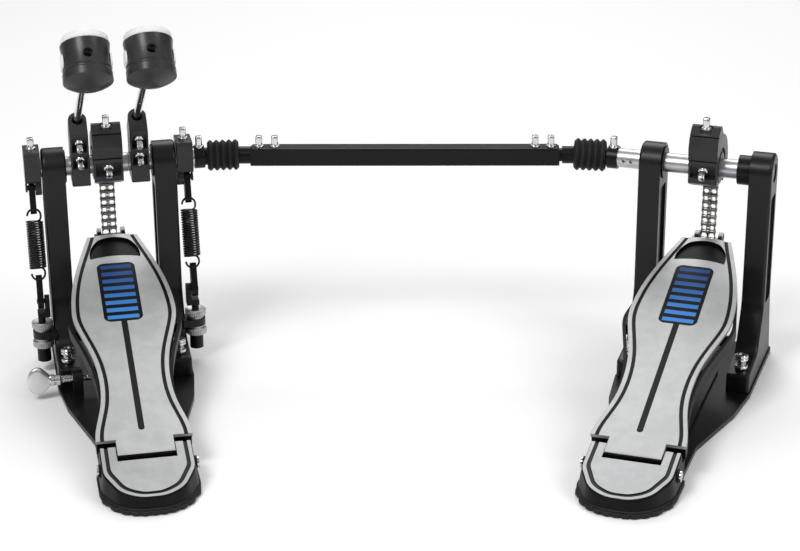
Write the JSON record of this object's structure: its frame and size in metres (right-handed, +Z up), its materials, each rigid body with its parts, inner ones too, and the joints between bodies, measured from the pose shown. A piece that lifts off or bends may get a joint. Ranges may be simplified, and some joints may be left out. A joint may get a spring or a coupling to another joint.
{
  "type": "double bass drum pedal",
  "caption": "Chain-driven bass drum pedal pair joined by a telescopic universal-jointed shaft, with sprung beaters, hinged footboards, spur bolts and a hoop clamp.",
  "frame": {"origin": "on the floor, under the middle of the main pedal's axle", "axes": "+X along the link shaft from the main pedal to the slave pedal, +Y towards the drum, +Z up"},
  "size_m": [0.6187, 0.3655, 0.3044],
  "materials": {
    "silver_board": "satin",
    "black_casting": "satin black paint",
    "black_steel": "semi-gloss black",
    "spring_wire": "black oxide wire",
    "bright_steel": "turned",
    "chrome": "polished",
    "chain_steel": "oiled",
    "rubber": "matte",
    "head_plastic": "satin",
    "felt": "pressed felt"
  },
  "bodies": {
    "main_frame": {"main_base_plate": "black_casting", "main_heel_block": "silver_board", "main_heel_pad": "rubber", "main_tower_left": "black_casting", "main_tower_right": "black_casting", "main_bearings": "bright_steel", "main_hinge_pin": "bright_steel", "main_spurs": "chrome", "tension_bolts": "black_casting", "tension_nuts": "bright_steel"},
    "hoop_jaw": {"hoop_clamp_jaw": "black_casting"},
    "hoop_screw": {"hoop_clamp_screw": "bright_steel"},
    "main_rotor": {"main_axle": "bright_steel", "main_cam": "black_casting", "main_rocker": "black_casting", "main_beater_holder": "black_casting", "main_axle_screws": "chrome"},
    "main_beater": {"main_beater_rod": "chrome", "main_beater_head": "head_plastic", "main_beater_felt": "felt"},
    "main_hanger": {"main_spring_hanger": "black_steel", "main_spring": "spring_wire"},
    "main_eye": {"main_spring_eye": "black_steel"},
    "main_bend": {"main_chain_bend": "chain_steel"},
    "main_run": {"main_chain_run": "chain_steel"},
    "main_board": {"main_footboard": "silver_board"},
    "drive_rotor": {"drive_axle": "bright_steel", "drive_beater_holder": "black_casting", "drive_rocker": "black_casting", "drive_axle_screws": "chrome", "drive_axle_yoke": "bright_steel"},
    "drive_beater": {"drive_beater_rod": "chrome", "drive_beater_head": "head_plastic", "drive_beater_felt": "felt"},
    "drive_hanger": {"drive_spring_hanger": "black_steel", "drive_spring": "spring_wire"},
    "drive_eye": {"drive_spring_eye": "black_steel"},
    "main_cross_body": {"main_cross": "black_steel"},
    "main_boot_body": {"main_boot": "rubber"},
    "drive_shaft": {"drive_tube": "black_steel", "drive_tube_screws": "chrome", "main_stub_yoke": "black_steel"},
    "slave_frame": {"slave_base_plate": "black_casting", "slave_heel_block": "silver_board", "slave_heel_pad": "rubber", "slave_tower_left": "black_casting", "slave_tower_right": "black_casting", "slave_bearings": "bright_steel", "slave_hinge_pin": "bright_steel", "slave_spurs": "chrome"},
    "slave_rotor": {"slave_axle": "bright_steel", "slave_cam": "black_casting", "slave_axle_screws": "chrome", "slave_axle_yoke": "bright_steel"},
    "slave_bend": {"slave_chain_bend": "chain_steel"},
    "slave_run": {"slave_chain_run": "chain_steel"},
    "slave_board": {"slave_footboard": "silver_board"},
    "slave_stub": {"slave_stub_yoke": "black_steel"},
    "slave_cross_body": {"slave_cross": "black_steel"},
    "slave_boot_body": {"slave_boot": "rubber"}
  },
  "joints": [
    {"name": "main_swing", "type": "hinge", "parent": "main_frame", "child": "main_rotor", "pos_m": [0, 0, 0.1675], "axis": [-0.9759, -0.2181, 0], "range_deg": [0, 48], "stiffness_Nm_per_rad": 1.6, "springref_deg": -25.78},
    {"name": "main_beater_height", "type": "slide", "parent": "main_rotor", "child": "main_beater", "axis": [0.2155, -0.7241, 0.6552], "range_m": [-0.02, 0.012]},
    {"name": "main_hanger_turn", "type": "hinge", "parent": "main_rotor", "child": "main_hanger", "pos_m": [-0.06084, -0.01754, 0.15248], "axis": [-0.9759, -0.2181, 0], "range_deg": [-54.72, 0]},
    {"name": "main_spring_stretch", "type": "slide", "parent": "main_hanger", "child": "main_eye", "axis": [0.0541, -0.242, -0.9688], "range_m": [0, 0.0059], "deforming": ["main_spring"]},
    {"name": "drive_swing", "type": "hinge", "parent": "main_frame", "child": "drive_rotor", "pos_m": [0, 0, 0.1675], "axis": [-0.9759, -0.2181, 0], "range_deg": [0, 48], "stiffness_Nm_per_rad": 1.6, "springref_deg": -25.78},
    {"name": "drive_beater_height", "type": "slide", "parent": "drive_rotor", "child": "drive_beater", "axis": [0.2155, -0.7241, 0.6552], "range_m": [-0.02, 0.012]},
    {"name": "drive_hanger_turn", "type": "hinge", "parent": "drive_rotor", "child": "drive_hanger", "pos_m": [0.06252, 0.01004, 0.15248], "axis": [-0.9759, -0.2181, 0], "range_deg": [-54.72, 0]},
    {"name": "drive_spring_stretch", "type": "slide", "parent": "drive_hanger", "child": "drive_eye", "axis": [0.0541, -0.242, -0.9688], "range_m": [0, 0.0059], "deforming": ["drive_spring"]},
    {"name": "main_chain_bend_turn", "type": "hinge", "parent": "main_rotor", "child": "main_bend", "pos_m": [-0.00333, 0.0149, 0.18445], "axis": [-0.9759, -0.2181, 0], "range_deg": [-12.05, 0]},
    {"name": "main_chain_run_turn", "type": "hinge", "parent": "main_bend", "child": "main_run", "pos_m": [-0.00478, 0.0214, 0.17379], "axis": [-0.9759, -0.2181, 0], "range_deg": [-38.9, 0]},
    {"name": "main_footboard_hinge", "type": "hinge", "parent": "main_frame", "child": "main_board", "pos_m": [0.05508, -0.24642, 0.015], "axis": [-0.9759, -0.2181, 0], "range_deg": [0, 3.95]},
    {"name": "main_cross_turn", "type": "hinge", "parent": "drive_rotor", "child": "main_cross_body", "pos_m": [0.09213, 0.02059, 0.1675], "axis": [0, 0, 1], "range_deg": [0, 4.14]},
    {"name": "main_boot_turn", "type": "hinge", "parent": "main_frame", "child": "main_boot_body", "pos_m": [0.09213, 0.02059, 0.1675], "axis": [-0.994, -0.1097, 0], "range_deg": [0, 48.05]},
    {"name": "drive_shaft_turn", "type": "hinge", "parent": "main_frame", "child": "drive_shaft", "pos_m": [0.09213, 0.02059, 0.1675], "axis": [-1, 0, 0], "range_deg": [0, 48.05]},
    {"name": "shaft_length", "type": "slide", "parent": "main_frame", "child": "slave_frame", "axis": [1, 0, 0], "range_m": [-0.002, 0.06]},
    {"name": "slave_swing", "type": "hinge", "parent": "slave_frame", "child": "slave_rotor", "pos_m": [0.48852, -0.00946, 0.1675], "axis": [-0.9521, 0.3057, 0], "range_deg": [0, 48.05]},
    {"name": "slave_chain_bend_turn", "type": "hinge", "parent": "slave_rotor", "child": "slave_bend", "pos_m": [0.49319, 0.00508, 0.18445], "axis": [-0.9521, 0.3057, 0], "range_deg": [-12.05, 0]},
    {"name": "slave_chain_run_turn", "type": "hinge", "parent": "slave_bend", "child": "slave_run", "pos_m": [0.49523, 0.01142, 0.17379], "axis": [-0.9521, 0.3057, 0], "range_deg": [-38.9, 0]},
    {"name": "slave_footboard_hinge", "type": "hinge", "parent": "slave_frame", "child": "slave_board", "pos_m": [0.41133, -0.24987, 0.015], "axis": [-0.9521, 0.3057, 0], "range_deg": [0, 3.95]},
    {"name": "slave_stub_turn", "type": "hinge", "parent": "slave_frame", "child": "slave_stub", "pos_m": [0.39493, 0.02059, 0.1675], "axis": [-1, 0, 0], "range_deg": [0, 48.05]},
    {"name": "slave_cross_turn", "type": "hinge", "parent": "slave_rotor", "child": "slave_cross_body", "pos_m": [0.39493, 0.02059, 0.1675], "axis": [0, 0, 1], "range_deg": [-5.73, 0]},
    {"name": "slave_boot_turn", "type": "hinge", "parent": "slave_frame", "child": "slave_boot_body", "pos_m": [0.39493, 0.02059, 0.1675], "axis": [-0.988, 0.1547, 0], "range_deg": [0, 48.05]},
    {"name": "hoop_screw_turn", "type": "hinge", "parent": "main_frame", "child": "hoop_screw", "pos_m": [0.01854, -0.08295, 0.0165], "axis": [-0.9759, -0.2181, 0], "range_deg": [0, 720]},
    {"name": "hoop_jaw_tilt", "type": "hinge", "parent": "main_frame", "child": "hoop_jaw", "pos_m": [-0.00305, 0.01366, 0.019], "axis": [-0.9759, -0.2181, 0], "range_deg": [0, 6.05]}
  ],
  "couplings": [
    {"joint": "main_hanger_turn", "follows": "main_swing", "ratio": -1.1389},
    {"joint": "main_spring_stretch", "follows": "main_swing", "m_per_rad": 0.0069226},
    {"joint": "drive_hanger_turn", "follows": "drive_swing", "ratio": -1.1389},
    {"joint": "drive_spring_stretch", "follows": "drive_swing", "m_per_rad": 0.0069226},
    {"joint": "main_chain_bend_turn", "follows": "main_swing", "ratio": -0.25},
    {"joint": "main_chain_run_turn", "follows": "main_swing", "ratio": -0.8093},
    {"joint": "main_footboard_hinge", "follows": "main_swing", "ratio": 0.0813},
    {"joint": "main_cross_turn", "follows": "drive_swing", "ratio": 0.08528},
    {"joint": "main_boot_turn", "follows": "drive_swing", "ratio": 1},
    {"joint": "drive_shaft_turn", "follows": "drive_swing", "ratio": 1},
    {"joint": "slave_swing", "follows": "drive_swing", "ratio": 1},
    {"joint": "slave_chain_bend_turn", "follows": "drive_swing", "ratio": -0.25},
    {"joint": "slave_chain_run_turn", "follows": "drive_swing", "ratio": -0.8093},
    {"joint": "slave_footboard_hinge", "follows": "drive_swing", "ratio": 0.0813},
    {"joint": "slave_stub_turn", "follows": "drive_swing", "ratio": 1},
    {"joint": "slave_cross_turn", "follows": "drive_swing", "ratio": -0.11823},
    {"joint": "slave_boot_turn", "follows": "drive_swing", "ratio": 1},
    {"joint": "hoop_jaw_tilt", "follows": "hoop_screw_turn", "ratio": 0.0083333}
  ]
}
